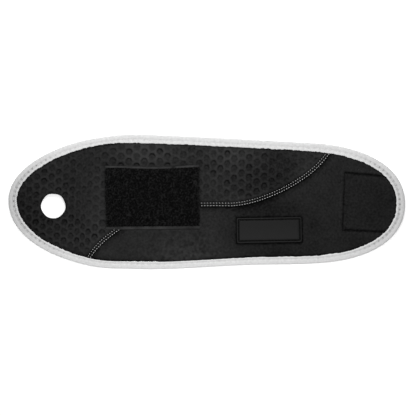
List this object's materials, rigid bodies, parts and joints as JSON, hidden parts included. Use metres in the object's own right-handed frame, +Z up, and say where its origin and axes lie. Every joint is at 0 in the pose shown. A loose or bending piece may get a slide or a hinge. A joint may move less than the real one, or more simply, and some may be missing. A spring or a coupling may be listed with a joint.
{
  "type": "wrist support",
  "caption": "Flat neoprene wrist wrap with a thumb hole at one end, a loop patch on its outer face, hook tape on its inner face and a pale bound edge.",
  "frame": {"origin": "middle of the wrap's outline, on the surface it lies on", "axes": "+X along the wrap from the thumb hole to the hook tape, +Y across it, +Z up out of its outer face"},
  "size_m": [0.3176, 0.108, 0.0065],
  "materials": {
    "honeycomb_cloth": "black jersey on neoprene foam, pressed with a honeycomb",
    "plain_cloth": "plain black jersey on neoprene foam",
    "binding_tape": "pale grey knitted tape, matt",
    "loop_pile": "deep black napped loop pile",
    "hook_tape": "black woven nylon with rows of hooks",
    "moulded_label": "soft black plastic, satin, bare"
  },
  "bodies": {
    "root": {"honeycomb_panel": "honeycomb_cloth", "plain_panel": "plain_cloth", "edge_binding": "binding_tape", "loop_patch": "loop_pile", "hook_patch": "hook_tape", "label": "moulded_label"}
  },
  "joints": []
}
